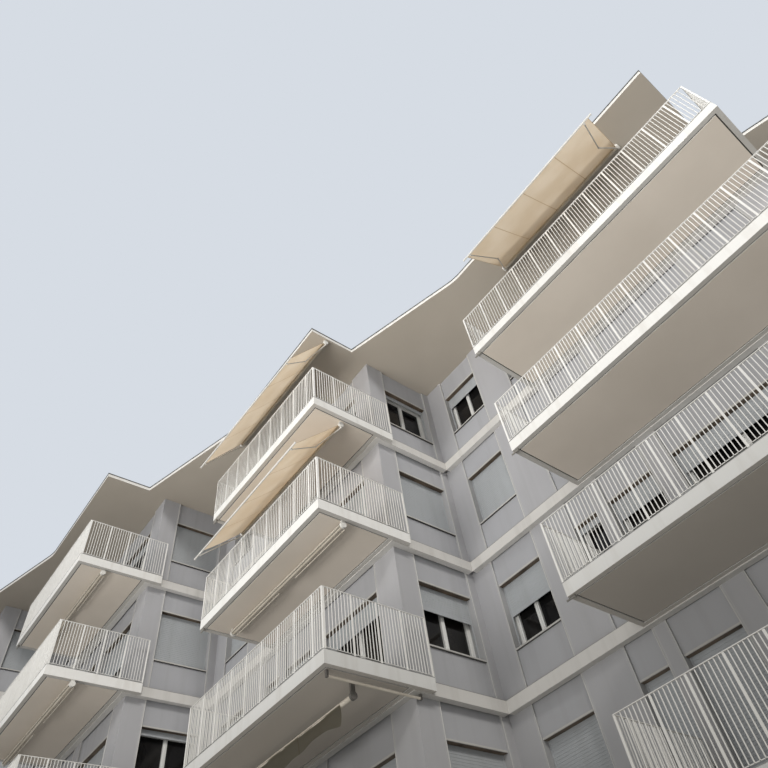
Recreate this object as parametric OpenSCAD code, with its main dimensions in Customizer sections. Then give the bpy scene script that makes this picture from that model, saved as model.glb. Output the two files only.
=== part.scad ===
// Apartment block of five bays in echelon, with stacked balconies.
// Each bay stands further back than the one on its left.
// X runs right along the fronts, Y runs back into the building, Z is up.
// The origin is on the ground, under the middle of the middle bay.

/* [Storeys] */
// Number of storeys
storeys = 5; // [2:1:5]
// Height of a storey, floor to floor
storey_h = 2950; // [2700:10:3200]
// Height of the wall base under the lowest floor band
plinth_h = 460; // [200:10:900]
// Thickness of a floor and of the band that shows its edge
floor_t = 230; // [180:5:300]
// Height of the roof's underside over the underside of the top floor
top_storey_h = 3080; // [2900:10:3400]

/* [Plan] */
// Width of an ordinary bay
bay_w = 7534; // [7300:2:7560]
// Width of the wide bay, fourth from the left
wide_bay_w = 9265; // [8600:5:9400]
// How much further back each bay stands than its left neighbour
setback = 2178; // [2120:2:2400]
// How much further back the last bay stands than its left neighbour
last_setback = 3860; // [3400:10:4200]
// Depth of a bay from its front wall to its back wall
bay_depth = 11000; // [9000:100:13000]
// Thickness of the outer walls
wall_t = 380; // [340:10:400]
// How far the floor bands stand out from the walls
band_out = 131; // [60:1:200]

/* [Window columns] */
// Height of the window sills over the underside of their floor
sill_h = 985; // [800:5:1200]
// Height of the window heads over the underside of their floor
head_h = 2365; // [2200:5:2500]
// How far the panels under and over the windows lie behind the wall face
panel_inset = 40; // [10:5:80]
// Width of the upright rib at each side of a window column
rib_w = 50; // [30:5:80]
// Clear width of a window in a front wall
window_w = 1160; // [900:10:1300]
// Distance from the inner corner to the clear width of the front window
window_u = 570; // [450:10:700]
// Clear width of the narrow window beside the balcony
slim_w = 570; // [400:10:650]
// Distance from the inner corner to the clear width of the narrow window
slim_u = 2670; // [2400:10:2700]
// Distance from a bay's front face to the clear width of its step window
step_window_u = 515; // [450:5:600]
// Distance from a step window's clear width to the next bay's front face
step_pier_w = 223; // [190:1:260]
// Number of window columns in the back wall of a bay
back_columns = 3; // [2:1:3]
// Distance from the narrow window to the balcony's single door
door_wall_w = 280; // [220:10:360]
// Clear width of the balcony's single door
door_w = 1000; // [800:10:1100]
// Distance from one balcony door to the next
door_gap = 440; // [300:10:600]
// Distance from the last balcony door to the bay's outer corner
corner_pier_w = 674; // [500:2:800]
// Height of a balcony door's threshold over the floor
threshold_h = 60; // [30:5:120]

/* [Window parts] */
// How far the window frames lie behind the wall face
frame_inset = 240; // [190:5:260]
// Depth of a window frame
frame_d = 60; // [40:5:80]
// Width of the frame members that show
frame_w = 62; // [40:2:90]
// Thickness of the window glass
glass_t = 12; // [4:1:24]
// How far the roller shutters lie behind the wall face
shutter_inset = 155; // [120:5:170]
// Thickness of a roller shutter
shutter_t = 14; // [8:1:25]
// Height of a window sill plate
sill_t = 40; // [15:5:50]
// How far a sill plate stands out over the panel below
sill_out = 40; // [10:5:60]

/* [Balconies] */
// Distance from the inner corner to the left end of a balcony
balcony_u = 3196; // [3000:2:3260]
// How far the balconies stand out from the front wall
balcony_out = 1937; // [1400:1:2000]
// Thickness of a balcony slab
balcony_t = 230; // [160:5:260]
// How much higher the balcony slabs lie than the floor bands
balcony_lift = 20; // [0:5:40]
// How far a balcony stands out past the band on the bay's right side
balcony_side = 97; // [40:1:150]
// How far that side edge runs on behind the front wall face
balcony_return = 275; // [100:5:400]
// Width of the drip groove in a balcony's underside
groove_w = 25; // [10:1:50]
// Depth of the drip groove
groove_d = 15; // [8:1:30]
// Distance from a balcony's edge to its drip groove
groove_in = 90; // [60:5:150]

/* [Railings] */
// Height of a railing over its balcony
rail_h = 1084; // [900:1:1200]
// Depth of a railing, square to its length
bar_d = 20; // [14:1:40]
// Thickness of a railing bar
bar_t = 12; // [8:1:16]
// Thickness of a railing post
post_t = 20; // [14:1:26]
// Distance from one of the main bars to the next
bar_pitch = 132; // [100:1:140]
// Number of spaces between main bars from one post to the next
bars_per_post = 4; // [2:1:8]
// Height of the top rail
top_rail_t = 12; // [8:1:30]
// Height of the bottom rail
bottom_rail_t = 10; // [8:1:30]
// Gap between the balcony and the bottom rail
rail_gap = 25; // [15:5:100]

/* [Roof] */
// How far the eaves stand out from the front walls
eave_out = 1823; // [1500:1:2000]
// How far the eaves stand out past a bay's right side
eave_side = 110; // [40:5:200]
// How far the eaves reach out at the inner corner between two bays
eave_corner_out = 2740; // [2500:5:2800]
// Distance from the inner corner to the bend in the eaves
eave_bend_u = 3326; // [3000:2:3400]
// Radius of that bend
eave_bend_r = 1500; // [500:50:2500]
// How far the eaves stand out at the back
eave_back = 600; // [300:10:1200]
// Thickness of the roof slab
roof_t = 95; // [70:5:200]
// Thickness of the roof covering
covering_t = 20; // [15:5:60]
// How far the covering stands out past the roof slab
covering_out = 15; // [5:1:40]

/* [Awnings] */
// Diameter of an awning's roller with its cloth
roller_d = 80; // [60:2:110]
// Gap between an awning's roller and the ceiling over it
roller_gap = 50; // [30:5:80]
// Width of the bracket at each end of a roller
roller_bracket_w = 40; // [20:5:80]
// Diameter of the round cap at each end of a roller
cap_d = 130; // [90:2:150]
// Thickness of that cap
cap_t = 14; // [6:1:30]
// Gap between the lowest hung awning's roller and the ceiling over it
low_roller_gap = 170; // [120:5:200]
// How far the loose cloth hangs down from that roller
valance_drop = 230; // [150:10:300]
// Distance from that roller's right end to the loose cloth
valance_in = 280; // [200:10:400]
// Diameter of the side awning's roller
side_roller_d = 44; // [32:2:60]
// Length of the side awning's roller
side_roller_w = 1790; // [1200:10:1800]
// Distance from the side awning's roller to the front wall, at its outer end
side_roller_out = 1770; // [1700:5:1850]
// Distance from the side awning's roller to the balcony's side edge
side_roller_in = 160; // [140:5:300]
// Height of an awning's front bar
front_bar_h = 40; // [25:1:60]
// Depth of an awning's front bar
front_bar_d = 30; // [20:1:50]
// How far an awning's front bar runs past its cloth
bar_overhang = 80; // [20:10:150]
// Diameter of an awning arm
arm_d = 26; // [16:1:36]
// Diameter of the knuckle at each end and elbow of an arm
knuckle_d = 44; // [38:1:60]
// Distance from the end of the cloth to an arm's end at the front bar
arm_in = 120; // [60:5:300]
// Gap between the cloth's solid and what it runs on
cloth_gap = 0.3; // [0.1:0.1:1]
// Thickness of the awning cloth's solid
cloth_t = 8; // [4:1:15]

/* [Hidden] */
bays = 5;
middle_bay = 2;
wide_bay = 3;
last = bays - 1;

wall_color = "#B9BBBE";
band_color = "#E9E7E1";
panel_color = "#B2B5B8";
rail_color = "#F2F1EC";
soffit_color = "#D8D3CA";
frame_color = "#F0F0EE";
shutter_color = "#C3C6C6";
glass_color = "#2E3438";
cloth_color = "#E3D6BE";
cover_color = "#4A4C4E";

// Plan positions
function width(i) = i == wide_bay ? wide_bay_w : bay_w;
function left_x(i) = i == 0 ? -2.5 * bay_w : left_x(i - 1) + width(i - 1);
function right_x(i) = left_x(i + 1);
function front_y(i) = -bay_depth / 2 + (i - middle_bay) * setback
    + (i == last ? last_setback - setback : 0);
function back_y(i) = front_y(i) + bay_depth;

// Heights: the underside of each floor and of the roof
function level_z(s) = plinth_h + s * storey_h;
roof_z = level_z(storeys - 1) + top_storey_h;

// Window columns of a front wall: start, clear width, and whether each is a door. The wide
// window door fills what is left, and the wide bay has one more door on its right.
door_u = slim_u + slim_w + door_wall_w;
wide_door_u = door_u + door_w + door_gap;
function wide_door_end(i) = width(i) - corner_pier_w - (i == wide_bay ? door_w + door_gap : 0);
function columns(i) = concat([[window_u, window_w, false], [slim_u, slim_w, false],
    [door_u, door_w, true], [wide_door_u, wide_door_end(i) - wide_door_u, true]],
    i == wide_bay ? [[wide_door_end(i) + door_gap, door_w, true]] : []);

// The window in each step fills it between two piers
step_window_w = setback - step_window_u - step_pier_w;

// Window columns of a back wall, spread evenly between its corners
function back_u(i, c) = wall_t - step_window_w / 2
    + (c + 0.5) / back_columns * (width(i) - 2 * wall_t);

// Share of each window that its shutter covers, by storey from the ground up
closed_low = [0.35, 1, 0.50, 1, 0.26];
closed_step = [0.35, 1, 0.40, 1, 0.10];
closed_high = [1, 0.35, 0.10, 1, 1];
closed_slim = [1, 1, 0.10, 0.60, 1];
closed_door = [0.70, 0.75, 0.20, 0.50, 0.15];
closed_back = [1, 0.30, 0.65, 0.10, 0.45];

// Height of the bottom of an opening over the underside of its floor
function opening_sill(s, is_door) = is_door && s > 0 ? floor_t + threshold_h : sill_h;

// Plain box from its lowest to its highest corner
module span(low, high) {
    translate(low) cube(high - low);
}

// Ground slab: one raft under each bay, inside the walls
module ground_slab() {
    color(soffit_color) translate([0, 0, 0]) for (i = [0 : last]) {
        span([left_x(i) + wall_t, front_y(i) + wall_t, 0],
             [right_x(i) - wall_t, back_y(i) - wall_t, level_z(0)]);
    }
}

// Outline of a bay's floor inside the walls, with the notch behind its left neighbour
function floor_outline(i) = [
    [left_x(i) + (i == 0 ? wall_t : -wall_t), front_y(i) + wall_t],
    [right_x(i) - wall_t, front_y(i) + wall_t],
    [right_x(i) - wall_t, back_y(i) - wall_t],
    [left_x(i) + wall_t, back_y(i) - wall_t],
    [left_x(i) + wall_t, back_y(i - 1) - wall_t],
    [left_x(i) + (i == 0 ? wall_t : -wall_t), back_y(i - 1) - wall_t]];

// Floors of every other bay, starting from the given one
module floors(first) {
    color(soffit_color) for (i = [first : 2 : last]) for (s = [0 : storeys - 1]) {
        translate([0, 0, level_z(s)]) linear_extrude(floor_t) polygon(floor_outline(i));
    }
}

// Plain parts of a front wall between its window columns
module front_wall(i) {
    cols = columns(i);
    starts = concat([i == 0 ? wall_t : -wall_t], [for (c = cols) c[0] + c[1] + rib_w]);
    ends = concat([for (c = cols) c[0] - rib_w], [width(i) - wall_t]);
    for (n = [0 : len(starts) - 1]) {
        span([left_x(i) + starts[n], front_y(i), 0],
             [left_x(i) + ends[n], front_y(i) + wall_t, roof_z]);
    }
}

module front_walls() {
    color(wall_color) for (i = [0 : last]) front_wall(i);
}

// Walls of the steps between the bays: a pier at the outer corner, and a narrow one
// where the step meets the next bay's front wall
module step_walls() {
    color(wall_color) for (i = [0 : last - 1]) {
        span([right_x(i) - wall_t, front_y(i), 0],
             [right_x(i), front_y(i) + step_window_u - rib_w, roof_z]);
        span([right_x(i) - wall_t, front_y(i) + step_window_u + step_window_w + rib_w, 0],
             [right_x(i), front_y(i + 1), roof_z]);
    }
}

// Panels of one window column: from each window head to the next sill
module column_panels(w, depth, is_door) {
    span([0, panel_inset, 0], [w, depth, level_z(0) + opening_sill(0, is_door)]);
    for (s = [0 : storeys - 1]) {
        top = s == storeys - 1 ? roof_z : level_z(s + 1) + opening_sill(s + 1, is_door);
        span([0, panel_inset, level_z(s) + head_h], [w, depth, top]);
    }
}

// Places its children, drawn with X along the wall and Y into it
module on_front(i, u) {
    translate([left_x(i) + u, front_y(i), 0]) children();
}
module on_step(i, u) {
    translate([right_x(i), front_y(i) + u, 0]) rotate([0, 0, 90]) children();
}
module on_back(i, u) {
    translate([right_x(i) - u, back_y(i), 0]) rotate([0, 0, 180]) children();
}
module on_back_step(i, u) {
    translate([left_x(i + 1), back_y(i + 1) - u, 0]) rotate([0, 0, -90]) children();
}

module front_panels() {
    color(panel_color) for (i = [0 : last]) for (c = columns(i)) {
        on_front(i, c[0]) column_panels(c[1], wall_t, c[2]);
    }
    color(panel_color) for (i = [0 : last - 1]) {
        on_step(i, step_window_u) column_panels(step_window_w, wall_t, false);
    }
}

// Upright ribs at both sides of the window columns
module rib_pair(w) {
    span([-rib_w, 0, 0], [0, wall_t, roof_z]);
    span([w, 0, 0], [w + rib_w, wall_t, roof_z]);
}

module window_ribs() {
    color(band_color) {
        for (i = [0 : last]) for (c = columns(i)) on_front(i, c[0]) rib_pair(c[1]);
        for (i = [0 : last - 1]) on_step(i, step_window_u) rib_pair(step_window_w);
    }
}

// Plain parts of a back wall; each runs past its left corner to close the inner corner
module back_wall(i) {
    starts = concat([i == last ? wall_t : -wall_t],
        [for (c = [0 : back_columns - 1]) back_u(i, c) + step_window_w]);
    ends = concat([for (c = [0 : back_columns - 1]) back_u(i, c)], [width(i) - wall_t]);
    for (n = [0 : back_columns]) {
        on_back(i, 0) span([starts[n], 0, 0], [ends[n], wall_t, roof_z]);
    }
}

module back_walls() {
    color(wall_color) for (i = [0 : last]) back_wall(i);
}

module back_step_walls() {
    color(wall_color) for (i = [0 : last - 1]) on_back_step(i, 0) {
        span([0, 0, 0], [step_window_u, wall_t, roof_z]);
        span([step_window_u + step_window_w, 0, 0], [back_y(i + 1) - back_y(i), wall_t, roof_z]);
    }
}

module back_panels() {
    color(panel_color) for (i = [0 : last]) for (c = [0 : back_columns - 1]) {
        on_back(i, back_u(i, c)) column_panels(step_window_w, wall_t, false);
    }
    color(panel_color) for (i = [0 : last - 1]) {
        on_back_step(i, step_window_u) column_panels(step_window_w, wall_t, false);
    }
}

// Plain party walls at both ends of the row
module party_walls() {
    color(wall_color) {
        span([left_x(0), front_y(0), 0], [left_x(0) + wall_t, back_y(0), roof_z]);
        span([right_x(last) - wall_t, front_y(last), 0], [right_x(last), back_y(last), roof_z]);
    }
}

// Floor bands: the floor edges that stand out round the walls
module front_bands() {
    color(band_color) for (i = [0 : last]) for (s = [0 : storeys - 1]) {
        span([left_x(i) + (i == 0 ? 0 : band_out), front_y(i) - band_out, level_z(s)],
             [right_x(i) + (i == last ? 0 : band_out), front_y(i), level_z(s) + floor_t]);
    }
}

module step_bands() {
    color(band_color) for (i = [0 : last - 1]) for (s = [0 : storeys - 1]) {
        span([right_x(i), front_y(i), level_z(s)],
             [right_x(i) + band_out, front_y(i + 1) - band_out, level_z(s) + floor_t]);
    }
}

module back_bands() {
    color(band_color) for (i = [0 : last]) for (s = [0 : storeys - 1]) {
        span([left_x(i) - (i == 0 ? 0 : band_out), back_y(i), level_z(s)],
             [right_x(i) - (i == last ? 0 : band_out), back_y(i) + band_out, level_z(s) + floor_t]);
    }
}

module back_step_bands() {
    color(band_color) for (i = [0 : last - 1]) for (s = [0 : storeys - 1]) {
        span([right_x(i) - band_out, back_y(i) + band_out, level_z(s)],
             [right_x(i), back_y(i + 1), level_z(s) + floor_t]);
    }
}

// Window frame with a middle post; a narrow one has none
module window_frame(w, z0, z1) {
    h = z1 - z0;
    leaves = w > 2 * slim_w ? 2 : 1;
    leaf_w = (w - (leaves + 1) * frame_w) / leaves;
    translate([0, frame_inset + frame_d, z0]) rotate([90, 0, 0]) linear_extrude(frame_d) difference() {
        square([w, h]);
        for (n = [0 : leaves - 1]) {
            translate([frame_w + n * (leaf_w + frame_w), frame_w]) square([leaf_w, h - 2 * frame_w]);
        }
    }
}

// Glass behind a window frame, held against its inner face
module window_pane(w, z0, z1) {
    span([0, frame_inset + frame_d, z0], [w, frame_inset + frame_d + glass_t, z1]);
}

// Roller shutter lowered over a share of its window, down to the sill plate at most
module shutter(w, z0, z1, share) {
    bottom = z1 - share * (z1 - z0 - sill_t);
    span([0, shutter_inset, bottom], [w, shutter_inset + shutter_t, z1]);
}

function shutter_share(i, s, c) = c[2] ? closed_door[s] : c[1] == slim_w ? closed_slim[s]
    : i == middle_bay || i == wide_bay ? closed_low[s] : closed_high[s];

module front_window_frames() {
    color(frame_color) for (s = [0 : storeys - 1]) {
        for (i = [0 : last]) for (c = columns(i)) on_front(i, c[0]) {
            window_frame(c[1], level_z(s) + opening_sill(s, c[2]), level_z(s) + head_h);
        }
        for (i = [0 : last - 1]) on_step(i, step_window_u) {
            window_frame(step_window_w, level_z(s) + sill_h, level_z(s) + head_h);
        }
    }
}

module front_window_glass() {
    color(glass_color) for (s = [0 : storeys - 1]) {
        for (i = [0 : last]) for (c = columns(i)) on_front(i, c[0]) {
            window_pane(c[1], level_z(s) + opening_sill(s, c[2]), level_z(s) + head_h);
        }
        for (i = [0 : last - 1]) on_step(i, step_window_u) {
            window_pane(step_window_w, level_z(s) + sill_h, level_z(s) + head_h);
        }
    }
}

module front_shutters() {
    color(shutter_color) for (s = [0 : storeys - 1]) {
        for (i = [0 : last]) for (c = columns(i)) on_front(i, c[0]) {
            shutter(c[1], level_z(s) + opening_sill(s, c[2]), level_z(s) + head_h,
                shutter_share(i, s, c));
        }
        for (i = [0 : last - 1]) on_step(i, step_window_u) {
            shutter(step_window_w, level_z(s) + sill_h, level_z(s) + head_h,
                i == middle_bay ? closed_step[s] : closed_high[s]);
        }
    }
}

module back_windows() {
    for (i = [0 : last]) for (c = [0 : back_columns - 1]) {
        on_back(i, back_u(i, c)) children();
    }
    for (i = [0 : last - 1]) on_back_step(i, step_window_u) children();
}

module back_window_frames() {
    color(frame_color) for (s = [0 : storeys - 1]) back_windows() {
        window_frame(step_window_w, level_z(s) + sill_h, level_z(s) + head_h);
    }
}

module back_window_glass() {
    color(glass_color) for (s = [0 : storeys - 1]) back_windows() {
        window_pane(step_window_w, level_z(s) + sill_h, level_z(s) + head_h);
    }
}

module back_shutters() {
    color(shutter_color) for (s = [0 : storeys - 1]) back_windows() {
        shutter(step_window_w, level_z(s) + sill_h, level_z(s) + head_h, closed_back[s]);
    }
}

// Sill plate on the panel under a window, under the shutter and up to the frame
module sill(w, z) {
    span([0, panel_inset - sill_out, z], [w, frame_inset, z + sill_t]);
}

module window_sills() {
    color(frame_color) for (s = [0 : storeys - 1]) {
        for (i = [0 : last]) for (c = columns(i)) {
            on_front(i, c[0]) sill(c[1], level_z(s) + opening_sill(s, c[2]));
        }
        for (i = [0 : last - 1]) on_step(i, step_window_u) sill(step_window_w, level_z(s) + sill_h);
        back_windows() sill(step_window_w, level_z(s) + sill_h);
    }
}

// Balcony slab with its side edge, and a drip groove round its underside
function balcony_z(s) = level_z(s) + balcony_lift;
function balcony_right(i) = right_x(i) + (i == last ? 0 : band_out + balcony_side);

module balcony_slabs() {
    color(band_color) for (i = [0 : last]) for (s = [1 : storeys - 1]) {
        low = [left_x(i) + balcony_u, front_y(i) - balcony_out, balcony_z(s)];
        high = [balcony_right(i), front_y(i) - band_out, balcony_z(s) + balcony_t];
        groove = [groove_w, groove_w, 0];
        inset = [groove_in, groove_in, 0];
        difference() {
            span(low, high);
            difference() {
                span(low + inset - [0, 0, 1], [high[0], high[1], low[2] + groove_d] - inset);
                span(low + inset + groove - [0, 0, 2], high - inset - groove);
            }
        }
    }
}

// Side edge that runs on from a balcony past the outer corner, along the step
module balcony_side_edges() {
    color(band_color) for (i = [0 : last - 1]) for (s = [1 : storeys - 1]) {
        span([right_x(i) + band_out, front_y(i) - band_out, balcony_z(s)],
             [balcony_right(i), front_y(i) + balcony_return, balcony_z(s) + balcony_t]);
    }
}

// Railing panel of upright bars between a bottom rail and a top rail, with a post at
// every few bars and at both ends
module railing(length) {
    spaces = floor((length - post_t) / bar_pitch);
    margin = (length - spaces * bar_pitch) / 2;
    slot_h = rail_h - rail_gap - bottom_rail_t - top_rail_t;
    translate([0, bar_d, 0]) rotate([90, 0, 0]) linear_extrude(bar_d) difference() {
        square([length, rail_h]);
        for (n = [0 : spaces - 1]) {
            x0 = n == 0 ? post_t : margin + n * bar_pitch + (n % bars_per_post == 0 ? post_t : bar_t) / 2;
            x1 = n == spaces - 1 ? length - post_t
                : margin + (n + 1) * bar_pitch - ((n + 1) % bars_per_post == 0 ? post_t : bar_t) / 2;
            translate([x0, rail_gap + bottom_rail_t]) square([x1 - x0, slot_h]);
        }
        for (n = [0 : bars_per_post : spaces - 1]) {
            x0 = n == 0 ? post_t : margin + n * bar_pitch + post_t / 2;
            x1 = n + bars_per_post >= spaces ? length - post_t
                : margin + (n + bars_per_post) * bar_pitch - post_t / 2;
            translate([x0, -1]) square([x1 - x0, rail_gap + 1]);
        }
    }
}

// Places its children on each balcony slab of a bay, at the front left corner
module on_balconies(i, right) {
    for (s = [1 : storeys - 1]) {
        translate([right ? balcony_right(i) : left_x(i) + balcony_u, front_y(i) - balcony_out,
            balcony_z(s) + balcony_t]) children();
    }
}

module front_railings(i) {
    color(rail_color) on_balconies(i, false) railing(balcony_right(i) - left_x(i) - balcony_u);
}

// Railing from the front panel back to the front wall
module left_railings() {
    color(rail_color) for (i = [0 : last]) on_balconies(i, false) {
        translate([bar_d, bar_d, 0]) rotate([0, 0, 90]) railing(balcony_out - bar_d);
    }
}

// Railing from the front panel back past the outer corner
module right_railings() {
    color(rail_color) for (i = [0 : last]) on_balconies(i, true) {
        translate([0, bar_d, 0]) rotate([0, 0, 90])
            railing(balcony_out - bar_d + (i == last ? 0 : balcony_return));
    }
}

// Eaves of a bay, from the inner corner on its left to its outer corner: they slant in,
// and run straight from the bend on
eave_slant = atan((eave_corner_out - eave_out) / (eave_bend_u - eave_side));
bend_steps = 6;
function eave_start(i) = i == 0 ? 0 : eave_side;
function eave_bend(i, out) = [for (n = [0 : bend_steps]) let (turn = eave_slant * (1 - n / bend_steps))
    [left_x(i) + eave_bend_u + eave_bend_r * (tan(eave_slant / 2) - sin(turn)),
     front_y(i) - eave_out - out - eave_bend_r * (1 - cos(turn))]];
function eaves(i, out) = concat(
    [[left_x(i) + eave_start(i) + (i == 0 ? 0 : out),
      front_y(i) - eave_out - out - (eave_bend_u - eave_start(i)) * tan(eave_slant)]],
    eave_bend(i, out),
    [[right_x(i) + (i == last ? 0 : eave_side + out), front_y(i) - eave_out - out]]);

// Roof slabs of every other bay, starting from the given one
module roof(first) {
    color(soffit_color) translate([0, 0, roof_z]) for (i = [first : 2 : last]) {
        linear_extrude(roof_t) polygon(concat(eaves(i, 0), [
            [right_x(i) + (i == last ? 0 : eave_side), back_y(i) + eave_back],
            [left_x(i) + (i == 0 ? 0 : eave_side), back_y(i) + eave_back]]));
    }
}

// Covering over the whole roof, a little larger than the slab
module roof_covering() {
    color(cover_color) translate([0, 0, roof_z + roof_t]) linear_extrude(covering_t) for (i = [0 : last]) {
        polygon(concat(eaves(i, covering_out), [
            [right_x(i) + (i == last ? 0 : eave_side + covering_out), back_y(i) + eave_back + covering_out],
            [left_x(i) + (i == 0 ? 0 : eave_side + covering_out), back_y(i) + eave_back + covering_out]]));
    }
}

// Awnings: bay, storey, the cloth's distance from the balcony's left end and from its
// right end, the roller's distance from the wall, and the reach and drop of the cloth at
// its left and its right end, which are 0 where it is rolled up. An open one then has how
// far in the elbows of its left and its right arm lie, and their share of the way out
awnings = [
    [2, 4, 94, 212, 1360, [1090, 1400], [1085, 1520], [60, 400, 0.33]],
    [2, 3, 44, 190, 1110, [1134, 1142], [1228, 1278], [60, 460, 0.30]],
    [2, 2, 356, 130, 1313, [0, 0], [0, 0]],
    [2, 1, 294, 346, 1205, [0, 0], [0, 0]],
    [1, 3, 190, 118, 1259, [0, 0], [0, 0]],
    [1, 2, 190, 50, 1288, [0, 0], [0, 0]],
    [3, 4, 1160, 1469, 1050, [1710, 1320], [1967, 1740], [190, 220, 0.40]]];

// Rolled-up awning that hangs lower than the others, with loose cloth below its roller
low_bay = 2;
low_storey = 1;
function is_low(a) = a[0] == low_bay && a[1] == low_storey;
function gap_over(a) = is_low(a) ? low_roller_gap : roller_gap;

// Balcony whose side has an awning too, square to the others, rolled up under its ceiling
side_bay = 2;
side_storey = 1;

function ceiling_z(s) = s == storeys - 1 ? roof_z : balcony_z(s + 1);
function roller_z(a) = ceiling_z(a[1]) - gap_over(a) - roller_d / 2;
function is_open(a) = a[5][0] > 0;
function awning_w(a) = balcony_right(a[0]) - left_x(a[0]) - balcony_u - a[2] - a[3];
built_awnings = [for (a = awnings) if (a[1] < storeys) a];
open_awnings = [for (a = built_awnings) if (is_open(a)) a];

// Point on the back of the front bar, at a distance along the cloth
function bar_point(a, x) = let (t = x / awning_w(a), at = a[5] + t * (a[6] - a[5])) [x, -at[0], -at[1]];

// Places its children at an awning's roller, X along it and Y towards the wall
module at_roller(a) {
    translate([left_x(a[0]) + balcony_u + a[2], front_y(a[0]) - a[4], roller_z(a)]) children();
}

// Places its children at the side awning's roller, X along it towards the wall, low
// enough to pass under the floor band
module at_side_roller() {
    translate([balcony_right(side_bay) - side_roller_in, front_y(side_bay) - side_roller_out,
        ceiling_z(side_storey) - balcony_lift - roller_gap - side_roller_d / 2])
        rotate([0, 0, 90]) children();
}

module roller(length, d) {
    rotate([0, 90, 0]) cylinder(h = length, d = d, $fn = 48);
}

module awning_rollers() {
    color(cloth_color) {
        for (a = built_awnings) at_roller(a) roller(awning_w(a), roller_d);
        at_side_roller() roller(side_roller_w, side_roller_d);
    }
}

// Brackets at both ends of a roller, up to the ceiling; the first may reach higher
module roller_brackets(length, d, gap, first_lift = 0) {
    for (x = [-roller_bracket_w, length]) {
        top = d / 2 + gap + (x < 0 ? first_lift : 0);
        span([x, -d / 2, -d / 2], [x + roller_bracket_w, d / 2, top]);
    }
}

// Round caps that close both ends of a roller, on its brackets
module roller_caps(length) {
    for (x = [-roller_bracket_w - cap_t, length]) {
        translate([x, 0, 0]) rotate([0, 90, 0]) cylinder(h = roller_bracket_w + cap_t, d = cap_d, $fn = 48);
    }
}

module awning_brackets() {
    color(frame_color) {
        for (a = built_awnings) at_roller(a) {
            roller_brackets(awning_w(a), roller_d, gap_over(a));
            roller_caps(awning_w(a));
        }
        at_side_roller() roller_brackets(side_roller_w, side_roller_d, roller_gap, balcony_lift);
    }
}

// Front bar at the outer edge of an open awning
module awning_front_bars() {
    color(frame_color) for (a = open_awnings) at_roller(a) {
        low = bar_point(a, -bar_overhang);
        along = bar_point(a, awning_w(a) + bar_overhang) - low;
        translate(low) rotate([0, atan2(-along[2], along[0]), atan2(along[1], along[0])])
            translate([0, -front_bar_d, -front_bar_h / 2]) cube([norm(along), front_bar_d, front_bar_h]);
    }
}

// Round arm through a few points, with a knuckle at each; the knuckles are turned so that
// their poles and seams lie away from the arm
module arm(points) {
    for (p = points) translate(p) rotate([0, 90, 0]) rotate([0, 0, 45]) sphere(d = knuckle_d, $fn = 32);
    for (n = [1 : len(points) - 1]) {
        step = points[n] - points[n - 1];
        translate(points[n - 1]) rotate([0, acos(step[2] / norm(step)), atan2(step[1], step[0])])
            cylinder(h = norm(step), d = arm_d, $fn = 24);
    }
}

// Folding arms of the open awnings: each hangs from a roller's cap and goes by its elbow
// to the front bar
module awning_arms() {
    color(frame_color) for (a = open_awnings) at_roller(a) for (right = [0, 1]) {
        inward = right == 1 ? -1 : 1;
        end = right * awning_w(a);
        shoulder = [end - inward * roller_bracket_w / 2, 0, -(cap_d + knuckle_d) / 2];
        hand = bar_point(a, end + inward * arm_in) + [0, knuckle_d / 2, 0];
        elbow = shoulder + a[7][2] * (hand - shoulder) + [inward * a[7][right], 0, 0];
        arm([shoulder, elbow, hand]);
    }
}

// Cloth of an open awning, from the front of its roller to the top of its front bar
module open_cloth(a) {
    hull() {
        translate([0, -roller_d / 2 - cloth_gap - cloth_t, 0])
            cube([awning_w(a), cloth_t, cloth_t]);
        for (x = [0, awning_w(a)]) {
            translate(bar_point(a, x) + [0, -front_bar_d / 2, front_bar_h / 2 + cloth_gap + cloth_t])
                cube([0.1, cloth_t, cloth_t], center = true);
        }
    }
}

// Loose cloth that hangs straight down from a roller
module loose_cloth(a) {
    top = -roller_d / 2 - cloth_gap;
    span([0, -cloth_t / 2, top - valance_drop], [awning_w(a) - valance_in, cloth_t / 2, top]);
}

module awning_cloths() {
    color(cloth_color) {
        for (a = open_awnings) at_roller(a) open_cloth(a);
        for (a = built_awnings) if (is_low(a)) at_roller(a) loose_cloth(a);
    }
}

ground_slab();
floors(0);  // floors_odd_bays
floors(1);  // floors_even_bays
front_walls();
step_walls();
front_panels();
window_ribs();
back_walls();
back_step_walls();
back_panels();
party_walls();
front_bands();
step_bands();
back_bands();
back_step_bands();
front_window_frames();
front_window_glass();
front_shutters();
window_sills();
back_window_frames();
back_window_glass();
back_shutters();
balcony_slabs();
balcony_side_edges();
front_railings(0);  // front_railings_bay_1
front_railings(1);  // front_railings_bay_2
front_railings(2);  // front_railings_bay_3
front_railings(3);  // front_railings_bay_4
front_railings(4);  // front_railings_bay_5
left_railings();
right_railings();
roof(0);  // roof_odd_bays
roof(1);  // roof_even_bays
roof_covering();
awning_rollers();
awning_brackets();
awning_arms();
awning_front_bars();
awning_cloths();
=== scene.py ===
"""Looks of the apartment block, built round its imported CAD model. All lengths are metres."""

import math

import bmesh
import bpy
from mathutils import Matrix, Vector


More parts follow.
